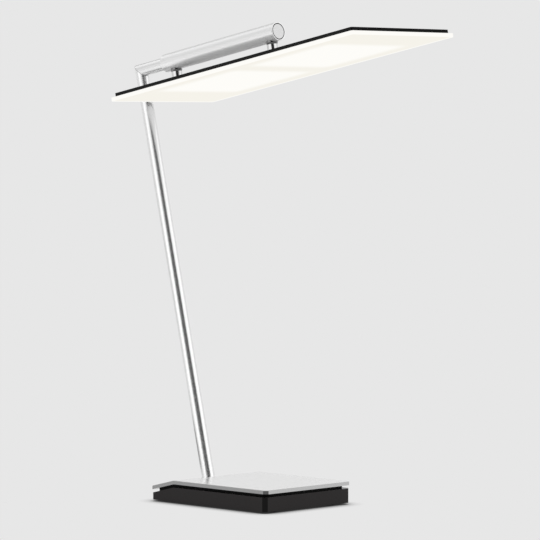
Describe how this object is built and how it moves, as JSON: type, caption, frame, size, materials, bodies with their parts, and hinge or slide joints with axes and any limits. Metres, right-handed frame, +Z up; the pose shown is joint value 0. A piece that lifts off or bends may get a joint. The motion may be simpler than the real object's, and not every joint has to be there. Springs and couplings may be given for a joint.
{
  "type": "desk lamp",
  "caption": "Desk lamp with a long flat light panel hung from a turning sleeve on a raised arm, a leaning tube stem that swivels, a push switch and a low weighted base.",
  "frame": {"origin": "on the desk under the middle of the base, in the plane of the pads", "axes": "+X forward along the arm, +Y to the far side, +Z up"},
  "size_m": [0.3395, 0.13, 0.4345],
  "materials": {
    "satin_plate": "satin anodised",
    "tube": "bright drawn",
    "satin_sleeve": "satin",
    "button_face": "satin, turned",
    "black_body": "black powder coat",
    "black_neck": "matt black",
    "black_panel": "black anodised",
    "glow_plate": "opal, lit from inside",
    "light_tile": "lit",
    "polished_post": "polished",
    "dark_saddle": "dark satin",
    "steel": "plain",
    "screw_steel": "zinc plated",
    "brass": "turned",
    "alloy_core": "machined",
    "bush_plastic": "slick",
    "switch_plastic": "plain",
    "board": "lacquered",
    "pad_rubber": "matt"
  },
  "bodies": {
    "base": {"base_plate": "satin_plate", "neck_frame": "black_neck", "base_body": "black_body", "bottom_cover": "steel", "foot_pads": "pad_rubber", "cover_screws": "screw_steel", "plate_screws": "screw_steel", "weight": "steel", "driver_board": "board", "power_inlet": "switch_plastic", "foot_socket": "steel", "socket_screws": "screw_steel", "swivel_bush": "brass"},
    "stem": {"foot_spigot": "steel", "friction_washer": "steel", "swivel_nut": "steel", "stem_tube": "tube", "corner_core": "alloy_core", "arm_tube": "tube", "roll_stop": "alloy_core"},
    "head": {"roll_collar": "bush_plastic", "head_sleeve": "satin_sleeve", "sleeve_bushes": "bush_plastic", "switch_unit": "switch_plastic", "posts": "polished_post", "saddles": "dark_saddle", "post_screws": "screw_steel", "panel_carrier": "black_panel", "diffuser": "glow_plate", "light_tiles": "light_tile", "contact_strip": "board"},
    "button": {"button": "button_face"}
  },
  "joints": [
    {"name": "stem_swivel", "type": "hinge", "parent": "base", "child": "stem", "pos_m": [-0.05445, 0, 0.01815], "axis": [-0.2323, 0, 0.9726], "range_deg": [-45, 45]},
    {"name": "panel_roll", "type": "hinge", "parent": "stem", "child": "head", "pos_m": [-0.14401, 0, 0.3931], "axis": [0.9836, 0, 0.1805], "range_deg": [-70, 70]},
    {"name": "switch_press", "type": "slide", "parent": "head", "child": "button", "axis": [-0.9836, 0, -0.1805], "range_m": [0, 0.001], "stiffness_N_per_m": 600, "springref_m": -0.0008}
  ]
}
